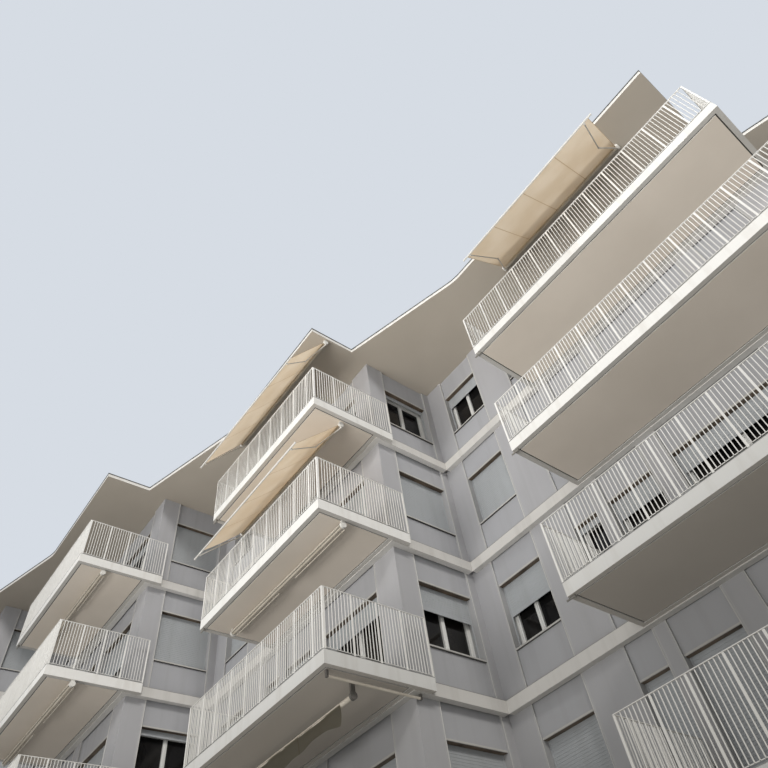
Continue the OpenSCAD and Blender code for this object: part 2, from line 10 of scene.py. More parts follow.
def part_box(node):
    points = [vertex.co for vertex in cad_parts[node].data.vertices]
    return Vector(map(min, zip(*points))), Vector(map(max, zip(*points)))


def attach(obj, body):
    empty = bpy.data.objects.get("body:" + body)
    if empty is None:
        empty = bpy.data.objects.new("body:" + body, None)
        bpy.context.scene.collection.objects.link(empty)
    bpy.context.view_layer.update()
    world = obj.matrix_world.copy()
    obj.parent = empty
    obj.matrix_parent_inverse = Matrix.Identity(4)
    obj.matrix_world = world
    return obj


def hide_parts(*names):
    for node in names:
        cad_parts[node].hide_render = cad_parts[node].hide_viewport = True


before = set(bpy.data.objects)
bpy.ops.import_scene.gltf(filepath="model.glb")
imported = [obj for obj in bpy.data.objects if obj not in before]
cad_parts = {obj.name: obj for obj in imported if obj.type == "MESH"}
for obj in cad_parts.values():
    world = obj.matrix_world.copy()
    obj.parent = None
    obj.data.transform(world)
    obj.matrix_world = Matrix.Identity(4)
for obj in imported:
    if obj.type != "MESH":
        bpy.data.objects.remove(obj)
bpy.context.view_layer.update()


# Floors and foundation
# Cast concrete slabs inside the walls. Next to nothing of them shows once the windows are
# in, so they keep their CAD shape and get the grey of bare concrete, with formwork marks.
def srgb(red, green, blue):
    """Linear colour of an sRGB colour with parts from 0 to 255."""
    parts = [c / 255 for c in (red, green, blue)]
    return [c / 12.92 if c <= 0.04045 else ((c + 0.055) / 1.055) ** 2.4 for c in parts]


def new_finish(name, colour, roughness, metallic=0.0):
    """Material with one Principled surface. Returns the material, its nodes' tree and the surface."""
    finish = bpy.data.materials.new(name)
    finish.use_nodes = True
    tree = finish.node_tree
    surface = tree.nodes["Principled BSDF"]
    surface.inputs["Base Color"].default_value = (*colour, 1)
    surface.inputs["Roughness"].default_value = roughness
    surface.inputs["Metallic"].default_value = metallic
    return finish, tree, surface


def noise(tree, scale, detail=4, stretch=(1, 1, 1), low=0.35, high=0.65):
    """Noise on Object coordinates, spread to run from 0 at low to 1 at high."""
    where = tree.nodes.new("ShaderNodeTexCoord")
    spread = tree.nodes.new("ShaderNodeMapping")
    spread.inputs["Scale"].default_value = stretch
    cloud = tree.nodes.new("ShaderNodeTexNoise")
    cloud.inputs["Scale"].default_value = scale
    cloud.inputs["Detail"].default_value = detail
    clear = tree.nodes.new("ShaderNodeMapRange")
    clear.inputs["From Min"].default_value = low
    clear.inputs["From Max"].default_value = high
    tree.links.new(where.outputs["Object"], spread.inputs["Vector"])
    tree.links.new(spread.outputs["Vector"], cloud.inputs["Vector"])
    tree.links.new(cloud.outputs["Fac"], clear.inputs["Value"])
    return clear.outputs["Result"]


def times(tree, value, factor):
    """Value times a factor, which is a number or another output."""
    product = tree.nodes.new("ShaderNodeMath")
    product.operation = "MULTIPLY"
    tree.links.new(value, product.inputs[0])
    if isinstance(factor, (int, float)):
        product.inputs[1].default_value = factor
    else:
        tree.links.new(factor, product.inputs[1])
    return product.outputs[0]


def tinted(tree, base, colour, share):
    """Base colour, which is a colour or an output, mixed with a colour by a share."""
    mix = tree.nodes.new("ShaderNodeMix")
    mix.data_type = "RGBA"
    if isinstance(base, (list, tuple)):
        mix.inputs["A"].default_value = (*base, 1)
    else:
        tree.links.new(base, mix.inputs["A"])
    mix.inputs["B"].default_value = (*colour, 1)
    tree.links.new(share, mix.inputs["Factor"])
    return mix.outputs["Result"]


def grain(tree, surface, height, depth):
    """Bump on the surface from a height that runs from 0 to 1 over a depth in metres."""
    bump = tree.nodes.new("ShaderNodeBump")
    bump.inputs["Strength"].default_value = 0.5
    bump.inputs["Distance"].default_value = depth
    tree.links.new(height, bump.inputs["Height"])
    tree.links.new(bump.outputs["Normal"], surface.inputs["Normal"])


def paint_nodes(finish, *names):
    """Gives CAD nodes one finish."""
    for name in names:
        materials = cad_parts[name].data.materials
        materials.clear()
        materials.append(finish)


concrete_grey = srgb(165, 161, 154)
concrete_dark = srgb(128, 124, 118)
concrete, tree, surface = new_finish("bare_concrete", concrete_grey, roughness=0.9)
board_marks = noise(tree, 3, stretch=(1, 12, 1))
shade = tinted(tree, concrete_grey, concrete_dark, times(tree, noise(tree, 0.7), 0.6))
shade = tinted(tree, shade, concrete_dark, times(tree, board_marks, 0.2))
tree.links.new(shade, surface.inputs["Base Color"])
grain(tree, surface, noise(tree, 90, low=0.2, high=0.8), depth=0.002)
paint_nodes(concrete, "ground_slab", "floors_odd_bays", "floors_even_bays")


# Outer walls
# Hollow brick with a smooth cement render, painted light grey. Rain leaves faint streaks
# on it, the paint is darker in patches over the first hand's breadth above each floor band,
# and painted shade, with some street dust, darkens the lower storeys.
wall_grey = srgb(180, 180, 183)
wall_dirt = srgb(128, 126, 122)
storey_height = 2.95
lowest_band = 0.46
band_height = 0.23
darker_over_bands_height = 0.16


def darker_over_bands(tree, height):
    """Share by which the paint is darker over each floor band: full at the band's top, none from the height
    up.
    """
    where = tree.nodes.new("ShaderNodeTexCoord")
    parts = tree.nodes.new("ShaderNodeSeparateXYZ")
    lowered = tree.nodes.new("ShaderNodeMath")
    lowered.operation = "SUBTRACT"
    lowered.inputs[1].default_value = lowest_band + band_height
    storey = tree.nodes.new("ShaderNodeMath")
    storey.operation = "FLOORED_MODULO"
    storey.inputs[1].default_value = storey_height
    fade = tree.nodes.new("ShaderNodeMapRange")
    fade.inputs["From Min"].default_value = 0
    fade.inputs["From Max"].default_value = height
    fade.inputs["To Min"].default_value = 1
    fade.inputs["To Max"].default_value = 0
    tree.links.new(where.outputs["Object"], parts.inputs["Vector"])
    tree.links.new(parts.outputs["Z"], lowered.inputs[0])
    tree.links.new(lowered.outputs[0], storey.inputs[0])
    tree.links.new(storey.outputs[0], fade.inputs["Value"])
    return fade.outputs["Result"]


def dust_and_painted_shade(tree, top, bottom, share):
    """Share of painted shade, with some street dust, on the lower storeys: none from the top height up, the
    full share from the bottom down.
    """
    where = tree.nodes.new("ShaderNodeTexCoord")
    parts = tree.nodes.new("ShaderNodeSeparateXYZ")
    settled = tree.nodes.new("ShaderNodeMapRange")
    settled.inputs["From Min"].default_value = bottom
    settled.inputs["From Max"].default_value = top
    settled.inputs["To Min"].default_value = share
    settled.inputs["To Max"].default_value = 0
    tree.links.new(where.outputs["Object"], parts.inputs["Vector"])
    tree.links.new(parts.outputs["Z"], settled.inputs["Value"])
    return settled.outputs["Result"]


def wall_paint(name, colour, dirt, streak_share=0.12, over_band_share=0.0, roughness=0.75):
    """Paint on render: broad patches, streaks that run down, patches darker over each floor
    band, painted shade with some street dust on the lower storeys and a fine sandy grain."""
    finish, tree, surface = new_finish(name, colour, roughness)
    patches = noise(tree, 0.45, detail=3)
    streaks = noise(tree, 5, detail=5, stretch=(1, 1, 0.06), low=0.5, high=0.75)
    shade = tinted(tree, colour, dirt, times(tree, patches, 0.12))
    shade = tinted(tree, shade, dirt, times(tree, streaks, streak_share))
    # Darker in patches over each floor band.
    over_band = times(tree, darker_over_bands(tree, darker_over_bands_height), noise(tree, 9, low=0.2, high=0.7))
    shade = tinted(tree, shade, dirt, times(tree, over_band, over_band_share))
    # Painted shade, with some street dust, darkens the lower storeys.
    shade = tinted(tree, shade, dirt, dust_and_painted_shade(tree, top=10, bottom=4, share=0.5))
    tree.links.new(shade, surface.inputs["Base Color"])
    grain(tree, surface, noise(tree, 160, low=0.2, high=0.8), depth=0.0012)
    return finish


render = wall_paint("grey_render", wall_grey, wall_dirt, over_band_share=0.3)
paint_nodes(render, "front_walls", "step_walls", "back_walls", "back_step_walls", "party_walls")


# Panels under and over the windows
# Cement boards with a smoother coat, set back behind the wall face between the ribs. A thin
# pale edge profile finishes the board over each window, and a board closes the slot behind
# it, down which the shutter runs; the board is coloured dark brown as painted shade of the recess.
panel_grey = srgb(178, 179, 183)
head_profile_height = 0.028
head_profile_depth = 0.02
panel_over_frame = 0.2
shutter_over_frame = 0.085
slot_board_thickness = 0.004
slot_board_bevel = 0.001
slot_board_to_shutter = 0.002
profile_bevel = 0.003
same_point = 0.0001


def solids(node):
    """Lowest and highest corner of each separate solid of a CAD node, from a merged copy."""
    shape = bmesh.new()
    shape.from_mesh(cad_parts[node].data)
    bmesh.ops.remove_doubles(shape, verts=shape.verts, dist=same_point)
    boxes, seen = [], set()
    for start in shape.verts:
        if start in seen:
            continue
        seen.add(start)
        found, queue = [], [start]
        while queue:
            vert = queue.pop()
            found.append(vert.co)
            for edge in vert.link_edges:
                other = edge.other_vert(vert)
                if other not in seen:
                    seen.add(other)
                    queue.append(other)
        low = Vector(min(co[n] for co in found) for n in range(3))
        high = Vector(max(co[n] for co in found) for n in range(3))
        boxes.append((low, high))
    shape.free()
    return boxes


def places(node, turned_away=False):
    """Where each solid of a node stands on its wall: a place with X along the wall, Y into it and
    its origin at the solid's outer lower left corner, then the solid's width and height. Walls
    face the fronts and the right, or with turned_away the back and the left."""
    found = []
    for low, high in solids(node):
        size = high - low
        if size.x > size.y:
            turn = math.pi if turned_away else 0
            corner = (high.x, high.y, low.z) if turned_away else low
        else:
            turn = -math.pi / 2 if turned_away else math.pi / 2
            corner = (low.x, high.y, low.z) if turned_away else (high.x, low.y, low.z)
        place = Matrix.Translation(corner) @ Matrix.Rotation(turn, 4, "Z")
        found.append((place, max(size.x, size.y), size.z))
    return found


def bar_block(name, low, high, bevel):
    """Straight bar with its edges taken off, between two corners."""
    low, high = Vector(low), Vector(high)
    bpy.ops.object.select_all(action="DESELECT")
    bpy.ops.mesh.primitive_cube_add(size=1, location=(low + high) / 2)
    bar = bpy.context.object
    bar.name = name
    bar.scale = high - low
    bpy.ops.object.transform_apply(location=True, rotation=True, scale=True)
    if bevel:
        edges = bar.modifiers.new("edges", "BEVEL")
        edges.width = bevel
        edges.segments = 1
        bpy.ops.object.modifier_apply(modifier=edges.name)
    return bar


def moved(piece, place):
    """The piece, moved to a place."""
    piece.data.transform(place)
    return piece


def copy_at(model, place):
    """Copy of a model with its own mesh, moved to a place."""
    piece = model.copy()
    piece.data = model.data.copy()
    bpy.context.scene.collection.objects.link(piece)
    return moved(piece, place)


def join(name, parts):
    """Parts joined into one piece of that name."""
    bpy.ops.object.select_all(action="DESELECT")
    for part in parts:
        part.select_set(True)
    bpy.context.view_layer.objects.active = parts[0]
    bpy.ops.object.join()
    piece = bpy.context.object
    piece.name = name
    return piece


def throw_away(*models):
    """Removes models that only served for copies."""
    for model in models:
        bpy.data.objects.remove(model)


def dress(piece, finish):
    """Gives a new piece its finish and material slot, and fixes it to the building."""
    piece.data.materials.clear()
    piece.data.materials.append(finish)
    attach(piece, "root")
    return piece


panels = wall_paint("panel_coat", panel_grey, wall_dirt, streak_share=0.15, over_band_share=0.25)
paint_nodes(panels, "front_panels", "back_panels")

front_windows = places("front_window_frames")
all_windows = front_windows + places("back_window_frames", turned_away=True)
profile_paint = wall_paint("head_profile_paint", srgb(202, 200, 194), wall_dirt)
# The slot board's dark brown is painted shade of the recess over the shutter.
slot_shade_brown = srgb(112, 97, 80)
slot_shade_dark = srgb(74, 62, 50)
slot_painted_shade, tree, surface = new_finish("slot_painted_shade", slot_shade_brown, roughness=0.5)
shade = tinted(tree, slot_shade_brown, slot_shade_dark, noise(tree, 3, stretch=(1, 1, 18)))
tree.links.new(shade, surface.inputs["Base Color"])
profiles, slot_boards = [], []
for place, width, height in all_windows:
    profile_front = -panel_over_frame - head_profile_depth / 2
    profile_back = -panel_over_frame + head_profile_depth / 2
    board_bottom = height - slot_board_thickness
    profile = bar_block(
        "profile",
        (0, profile_front, board_bottom),
        (width, profile_back, height + head_profile_height),
        profile_bevel,
    )
    profiles.append(moved(profile, place))
    board = bar_block(
        "board",
        (0, profile_back, board_bottom),
        (width, -shutter_over_frame - slot_board_to_shutter, height),
        slot_board_bevel,
    )
    slot_boards.append(moved(board, place))
dress(join("window_head_profiles", profiles), profile_paint)
dress(join("shutter_slot_boards", slot_boards), slot_painted_shade)


# Ribs at the window columns
# Upright concrete ribs that frame each column from the ground to the roof, painted a
# little lighter than the walls. A pale metal corner bead stands on the edge next to the
# windows and their boards, from one floor band to the next; its pale colour is partly a painted highlight
# along the rib's edge.
rib_grey = srgb(187, 187, 188)
# Pale of the beads: partly the metal's colour, partly a painted highlight on the rib's edge.
bead_pale_and_highlight = srgb(214, 213, 208)
bead_width = 0.014
bead_proud = 0.007
bead_sunk = 0.004
frame_behind_wall = 0.24
window_head_height = 2.365
top_storey_extra = 0.5
rib_paint = wall_paint("rib_paint", rib_grey, wall_dirt, over_band_share=0.3)
paint_nodes(rib_paint, "window_ribs")
roof_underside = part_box("roof_odd_bays")[0].z
beads = []
for place, width, height in front_windows:
    floor = height - window_head_height
    top = floor + storey_height
    to_roof = roof_underside - place.translation.z
    if to_roof < top + top_storey_extra:
        top = to_roof
    for left in (-bead_width, width):
        bead = bar_block(
            "bead",
            (left, -frame_behind_wall - bead_proud, floor + band_height),
            (left + bead_width, -frame_behind_wall + bead_sunk, top),
            profile_bevel,
        )
        beads.append(moved(bead, place))
bead_paint_and_highlight = wall_paint("bead_paint_and_highlight", bead_pale_and_highlight, wall_dirt, roughness=0.5)
dress(join("rib_corner_beads", beads), bead_paint_and_highlight)


# Floor bands
# The concrete floor edges run round all walls and are painted white. A thin zinc
# flashing, folded over the top edge, sheds the rain.
band_white = srgb(214, 212, 208)
band_dirt = srgb(160, 156, 148)
flashing_grey = srgb(150, 150, 148)
flashing_dull = srgb(120, 118, 112)
flashing_height = 0.006
flashing_proud = 0.004
flashing_bevel = 0.002
band_nodes = ("front_bands", "step_bands", "back_bands", "back_step_bands")
band_paint = wall_paint("band_paint", band_white, band_dirt, streak_share=0.25)
paint_nodes(band_paint, *band_nodes)
flashing_metal, tree, surface = new_finish("flashing_metal", flashing_grey, 0.55, metallic=0.3)
shade = tinted(tree, flashing_grey, flashing_dull, times(tree, noise(tree, 6), 0.5))
tree.links.new(shade, surface.inputs["Base Color"])
flashings = []
for node in band_nodes:
    for low, high in solids(node):
        flashings.append(
            bar_block(
                "flashing",
                (low.x - flashing_proud, low.y - flashing_proud, high.z - flashing_height / 2),
                (high.x + flashing_proud, high.y + flashing_proud, high.z + flashing_height / 2),
                flashing_bevel,
            )
        )
dress(join("band_flashings", flashings), flashing_metal)


# Window frames and glass
# White painted frames, fixed in the openings, with one or two sashes in each. The sashes are
# rings mitred from a profile with rounded edges, and hold dark double glazing.
frame_white = srgb(232, 232, 229)
frame_bar = 0.062
frame_depth = 0.06
sash_bar = 0.048
sash_back = 0.012
sash_depth = 0.05
sash_lap = 0.015
sash_gap = 0.003
cover_width = 0.036
cover_proud = 0.002
cover_lap = 0.004
frame_bevel = 0.004
two_sashes_from = 1.1


def ring(name, low, high, bar, bevel):
    """Frame ring between two corners: a block with its two large faces inset and bridged."""
    low, high = Vector(low), Vector(high)
    bpy.context.tool_settings.mesh_select_mode = (False, False, True)
    bpy.ops.object.select_all(action="DESELECT")
    bpy.ops.mesh.primitive_cube_add(size=1, location=(low + high) / 2)
    frame_ring = bpy.context.object
    frame_ring.name = name
    frame_ring.scale = high - low
    bpy.ops.object.transform_apply(location=True, rotation=True, scale=True)
    for face in frame_ring.data.polygons:
        face.select = abs(face.normal.y) > 0.5
    bpy.ops.object.mode_set(mode="EDIT")
    bpy.ops.mesh.inset(thickness=bar, use_even_offset=True)
    bpy.ops.mesh.bridge_edge_loops()
    bpy.ops.object.mode_set(mode="OBJECT")
    edges = frame_ring.modifiers.new("edges", "BEVEL")
    edges.width = bevel
    edges.segments = 2
    edges.limit_method = "ANGLE"
    bpy.ops.object.modifier_apply(modifier=edges.name)
    return frame_ring


def window_frame(width, height):
    """Outer frame, sashes and the cover strip over the joint between two sashes."""
    parts = [ring("frame", (0, 0, 0), (width, frame_depth, height), frame_bar, frame_bevel)]
    sashes = 2 if width > two_sashes_from else 1
    inner = width - 2 * frame_bar
    for n in range(sashes):
        left = frame_bar - sash_lap + n * (inner / sashes)
        right = frame_bar + sash_lap + (n + 1) * (inner / sashes)
        if sashes == 2:
            left += n * (sash_lap + sash_gap / 2)
            right -= (1 - n) * (sash_lap + sash_gap / 2)
        low = (left, sash_back, frame_bar - sash_lap)
        high = (right, sash_back + sash_depth, height - frame_bar + sash_lap)
        parts.append(ring("sash", low, high, sash_bar, frame_bevel))
    if sashes == 2:
        cover_left = (width - cover_width) / 2
        parts.append(
            bar_block(
                "cover",
                (cover_left, -cover_proud, frame_bar),
                (cover_left + cover_width, sash_back + cover_lap, height - frame_bar),
                frame_bevel,
            )
        )
    return join("window", parts)


def put_copies(node, turned_away, model_for, name, finish):
    """Replaces the solids of a node by one piece, joined from copies of the model that
    model_for(width, height) makes for each size."""
    models, pieces = {}, []
    for place, width, height in places(node, turned_away):
        size = (round(width, 3), round(height, 3))
        if size not in models:
            models[size] = model_for(width, height)
        pieces.append(copy_at(models[size], place))
    throw_away(*models.values())
    piece = dress(join(name, pieces), finish)
    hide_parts(node)


frame_paint = wall_paint("frame_paint", frame_white, srgb(190, 188, 182), streak_share=0.15, roughness=0.35)
for side, turned_away in (("front", False), ("back", True)):
    put_copies(
        f"{side}_window_frames",
        turned_away,
        window_frame,
        f"{side}_window_sashes",
        frame_paint,
    )

glass_tone = srgb(16, 16, 17)
room_glow = srgb(40, 38, 36)
glass, tree, surface = new_finish("dark_glass", glass_tone, roughness=0.06)
surface.inputs["IOR"].default_value = 1.5
surface.inputs["Specular IOR Level"].default_value = 0.25
shade = tinted(tree, glass_tone, room_glow, times(tree, noise(tree, 1.1, detail=2), 0.6))
tree.links.new(shade, surface.inputs["Base Color"])
paint_nodes(glass, "front_window_glass", "back_window_glass")


# Roller shutters
# Light grey plastic slats that hook into each other and run in side channels. Each curtain
# hangs from a roller behind the board over the window and ends in a heavier bottom bar.
shutter_grey = srgb(180, 184, 187)
slat_pitch = 0.05
slat_height = 0.0475
slat_depth = 0.009
slat_bevel = 0.003
backing_front = 0.004
backing_foot = 0.01
bottom_bar_height = 0.055
bottom_bar_front = -0.003
bottom_bar_back = 0.013
channel_width = 0.028
channel_depth = 0.03
channel_proud = 0.01
shutter_plastic = wall_paint(
    "shutter_plastic", shutter_grey, srgb(130, 130, 128), streak_share=0.2, roughness=0.5
)


def shutter_curtain(width, height):
    """Slats from the top down to the bottom bar, which ends at the curtain's lower edge."""
    bottom = bar_block(
        "bottom_bar", (0, bottom_bar_front, 0), (width, bottom_bar_back, bottom_bar_height), slat_bevel
    )
    slats = int((height - bottom_bar_height) / slat_pitch)
    if slats < 1:
        return bottom
    slat = bar_block(
        "slat", (0, 0, bottom_bar_height), (width, slat_depth, bottom_bar_height + slat_height), slat_bevel
    )
    repeat = slat.modifiers.new("repeat", "ARRAY")
    repeat.count = slats
    repeat.use_relative_offset = False
    repeat.use_constant_offset = True
    repeat.constant_offset_displace = (0, 0, slat_pitch)
    bpy.ops.object.modifier_apply(modifier=repeat.name)
    backing = bar_block("backing", (0, backing_front, backing_foot), (width, slat_depth, height), 0)
    return join("curtain", [bottom, slat, backing])


for side, turned_away in (("front", False), ("back", True)):
    put_copies(
        f"{side}_shutters",
        turned_away,
        shutter_curtain,
        f"{side}_shutter_slats",
        shutter_plastic,
    )

channels = []
channel_front = -shutter_over_frame - channel_proud
for place, width, height in all_windows:
    for left in (0, width - channel_width):
        channel = bar_block(
            "channel",
            (left, channel_front, 0),
            (left + channel_width, channel_front + channel_depth, height),
            slat_bevel,
        )
        channels.append(moved(channel, place))
dress(join("shutter_channels", channels), shutter_plastic)


# Window sills
# Slabs of pale artificial stone on the boards under the windows. They reach from the frames
# out to the wall face with a rounded nose, and their undersides are coloured dark as painted shade.
# Grey of the painted shade, with some street dust, on the lower storeys.
dust_and_shade_grey = srgb(118, 118, 114)
sill_nose = 0.006


def two_tone_paint(name, sides, underside, dirt, roughness=0.7):
    """Paint on the upright faces and the top, and another colour on the underside. Painted
    shade, with some street dust, darkens both on the lower storeys, the underside more."""
    finish, tree, surface = new_finish(name, sides, roughness)
    shape = tree.nodes.new("ShaderNodeNewGeometry")
    parts = tree.nodes.new("ShaderNodeSeparateXYZ")
    facing_down = tree.nodes.new("ShaderNodeMath")
    facing_down.operation = "LESS_THAN"
    facing_down.inputs[1].default_value = -0.5
    tree.links.new(shape.outputs["True Normal"], parts.inputs["Vector"])
    tree.links.new(parts.outputs["Z"], facing_down.inputs[0])
    streaks = noise(tree, 7, detail=6, stretch=(1, 1, 0.1), low=0.5, high=0.8)
    shade = tinted(tree, sides, dirt, times(tree, streaks, 0.25))
    # Painted shade, with some street dust, on the lower storeys, more on the underside.
    shade = tinted(tree, shade, dust_and_shade_grey, dust_and_painted_shade(tree, top=9, bottom=5.5, share=0.45))
    ceiling = tinted(tree, underside, dirt, times(tree, noise(tree, 0.5, detail=6), 0.2))
    ceiling = tinted(tree, ceiling, dust_and_shade_grey, dust_and_painted_shade(tree, top=9.8, bottom=4.5, share=0.7))
    both = tree.nodes.new("ShaderNodeMix")
    both.data_type = "RGBA"
    tree.links.new(facing_down.outputs[0], both.inputs["Factor"])
    tree.links.new(shade, both.inputs["A"])
    tree.links.new(ceiling, both.inputs["B"])
    tree.links.new(both.outputs["Result"], surface.inputs["Base Color"])
    grain(tree, surface, noise(tree, 120, low=0.2, high=0.8), depth=0.001)
    return finish


# The sills' dark underside is painted shade.
sill_stone = two_tone_paint(
    "sill_stone",
    sides=srgb(200, 198, 193),
    underside=srgb(58, 55, 52),
    dirt=srgb(150, 147, 140),
    roughness=0.5,
)
sills = [bar_block("sill", low, high, sill_nose) for low, high in solids("window_sills")]
sill_piece = dress(join("stone_sills", sills), sill_stone)
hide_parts("window_sills")


# Balcony slabs
# Cast concrete with white painted edges. The white runs on over the outer hand's breadth of
# the underside, as far as the drip groove, where it is coloured grey as painted shade; a dark
# strip in the groove is painted shade too, and inside it the ceiling is warm off-white. A thin
# metal angle closes the tiles on top, and a spout drains each slab at its left corner.
balcony_white = srgb(234, 233, 229)
# Grey for the white paint on the underside's rim: painted shade.
rim_white_in_shade = srgb(196, 194, 189)
soffit_cream = srgb(226, 216, 203)
soffit_dirt = srgb(176, 165, 149)
# Dark for the strip in the drip groove: painted shade.
groove_painted_dark = srgb(74, 71, 67)
rim_width = 0.09
groove_width = 0.025
groove_depth = 0.015
coat_thickness = 0.0015
angle_height = 0.006
angle_lip = 0.002
angle_bevel = 0.001
spout_radius = 0.017
spout_length = 0.17
spout_inside = 0.06
spout_from_front = 0.05
spout_below_slab = 0.02
collar_radius = 0.029
collar_length = 0.016
collar_at = 0.095
round_bar_bevel = 0.003


def edge_strips(low, high, inset, width, bottom, top):
    """Four strips that run round a slab's underside, at an inset from its edges."""
    outer_low, outer_high = (low.x + inset, low.y + inset), (high.x - inset, high.y - inset)
    inner_low = (outer_low[0] + width, outer_low[1] + width)
    inner_high = (outer_high[0] - width, outer_high[1] - width)
    corners = [
        ((outer_low[0], outer_low[1]), (outer_high[0], inner_low[1])),
        ((outer_low[0], inner_high[1]), (outer_high[0], outer_high[1])),
        ((outer_low[0], inner_low[1]), (inner_low[0], inner_high[1])),
        ((inner_high[0], inner_low[1]), (outer_high[0], inner_high[1])),
    ]
    return [bar_block("strip", (*a, bottom), (*b, top), 0) for a, b in corners]


def round_bar(radius, length, centre, sides):
    """Round bar along X with the edges of its ends taken off."""
    bpy.ops.object.select_all(action="DESELECT")
    bpy.ops.mesh.primitive_cylinder_add(
        vertices=sides, radius=radius, depth=length, location=centre, rotation=(0, math.pi / 2, 0)
    )
    bpy.ops.object.transform_apply(location=True, rotation=True, scale=True)
    bar = bpy.context.object
    edges = bar.modifiers.new("edges", "BEVEL")
    edges.width = round_bar_bevel
    edges.limit_method = "ANGLE"
    bpy.ops.object.modifier_apply(modifier=edges.name)
    return bar


balcony_paint = two_tone_paint("balcony_paint", balcony_white, soffit_cream, soffit_dirt)
paint_nodes(balcony_paint, "balcony_slabs", "balcony_side_edges")
rim_painted_shade = wall_paint("rim_painted_shade", rim_white_in_shade, soffit_dirt)
groove_painted_shade = wall_paint("groove_painted_shade", groove_painted_dark, wall_dirt)
angles, rims, grooves, spouts = [], [], [], []
for node in ("balcony_slabs", "balcony_side_edges"):
    for low, high in solids(node):
        angles.append(
            bar_block(
                "angle",
                (low.x - flashing_proud, low.y - flashing_proud, high.z - angle_height),
                (high.x + flashing_proud, high.y, high.z + angle_lip),
                angle_bevel,
            )
        )
for low, high in solids("balcony_side_edges"):
    rims.append(bar_block("strip", (low.x, low.y, low.z - coat_thickness), (high.x, high.y, low.z), 0))
for low, high in solids("balcony_slabs"):
    rims += edge_strips(low, high, 0, rim_width, low.z - coat_thickness, low.z)
    groove_top = low.z + groove_depth
    grooves += edge_strips(low, high, rim_width, groove_width, groove_top - coat_thickness, groove_top)
    for radius, start, length in (
        (spout_radius, -spout_inside, spout_length),
        (collar_radius, collar_at, collar_length),
    ):
        centre = (low.x + start + length / 2, low.y + spout_from_front, low.z - spout_below_slab)
        spouts.append(round_bar(radius, length, centre, sides=20))
dress(join("balcony_edge_angles", angles), flashing_metal)
dress(join("balcony_rim_coats", rims), rim_painted_shade)
dress(join("balcony_groove_shade_strips", grooves), groove_painted_shade)
spout_finish = wall_paint(
    "spout_finish", srgb(150, 147, 140), srgb(70, 66, 60), streak_share=0.3, roughness=0.4
)
dress(join("balcony_spouts", spouts), spout_finish)


# Railings
# White painted steel: slim bars welded between a flat top rail and a bottom rail, with a
# stouter post at both ends and at every eighth bar, which stands on a small foot plate.
rail_white = srgb(240, 239, 235)
bar_pitch = 0.066
bars_to_post = 8
bar_thickness = 0.012
bar_depth = 0.014
post_thickness = 0.032
post_depth = 0.020
top_rail_height = 0.012
top_rail_depth = 0.026
bottom_rail_height = 0.010
bottom_rail_gap = 0.025
bottom_rail_inset = 0.003
foot_plate = 0.045
foot_plate_thickness = 0.004
foot_plate_front = 0.001
foot_plate_back = 0.030
bar_bevel = 0.0015
rail_bevel = 0.002
small_bevel = 0.001
railing_paint = wall_paint("railing_paint", rail_white, srgb(176, 172, 162), streak_share=0.2, roughness=0.4)


def railing_panel(length, height):
    """Railing of one length, with X along it and its outer face at Y 0."""
    middle = post_depth / 2
    under_top_rail = height - top_rail_height
    bar = bar_block(
        "bar",
        (0, middle - bar_depth / 2, bottom_rail_gap),
        (bar_thickness, middle + bar_depth / 2, under_top_rail),
        bar_bevel,
    )
    foot_left = (post_thickness - foot_plate) / 2
    foot = bar_block(
        "foot",
        (foot_left, foot_plate_front, 0),
        (foot_left + foot_plate, foot_plate_back, foot_plate_thickness),
        small_bevel,
    )
    upright = bar_block("post", (0, 0, 0), (post_thickness, post_depth, under_top_rail), rail_bevel)
    post = join("post", [upright, foot])
    spaces = int((length - post_thickness) / bar_pitch)
    margin = (length - spaces * bar_pitch) / 2
    top_rail = bar_block(
        "top",
        (0, middle - top_rail_depth / 2, under_top_rail),
        (length, middle + top_rail_depth / 2, height),
        rail_bevel,
    )
    bottom_rail = bar_block(
        "bottom",
        (0, bottom_rail_inset, bottom_rail_gap),
        (length, post_depth - bottom_rail_inset, bottom_rail_gap + bottom_rail_height),
        small_bevel,
    )
    last_post = Matrix.Translation((length - post_thickness, 0, 0))
    parts = [top_rail, bottom_rail, copy_at(post, Matrix.Identity(4)), copy_at(post, last_post)]
    for n in range(1, spaces):
        kind, thickness = (post, post_thickness) if n % bars_to_post == 0 else (bar, bar_thickness)
        parts.append(copy_at(kind, Matrix.Translation((margin + n * bar_pitch - thickness / 2, 0, 0))))
    throw_away(bar, post)
    return join("railing", parts)


railing_nodes = [(f"front_railings_bay_{n}", False) for n in range(1, 6)]
railing_nodes += [("left_railings", True), ("right_railings", False)]
for node, turned_away in railing_nodes:
    name = node.replace("railings", "rail_bars")
    put_copies(node, turned_away, railing_panel, name, railing_paint)


# Roof
# A thin concrete slab with wide eaves: white edge, beige grey underside. The dark roofing
# sheet on top is turned down over the edge and shows as a thin line.
roof_paint = two_tone_paint(
    "roof_paint", sides=srgb(232, 230, 225), underside=srgb(180, 172, 160), dirt=srgb(146, 137, 124)
)
paint_nodes(roof_paint, "roof_odd_bays", "roof_even_bays")
sheet_grey = srgb(86, 88, 90)
sheet_faded = srgb(112, 110, 104)
sheet_fleck = srgb(60, 61, 62)
roofing, tree, surface = new_finish("roofing_sheet", sheet_grey, roughness=0.85)
shade = tinted(tree, sheet_grey, sheet_faded, times(tree, noise(tree, 0.6), 0.6))
shade = tinted(tree, shade, sheet_fleck, times(tree, noise(tree, 30, low=0.45, high=0.6), 0.4))
tree.links.new(shade, surface.inputs["Base Color"])
grain(tree, surface, noise(tree, 140), depth=0.002)
paint_nodes(roofing, "roof_covering")


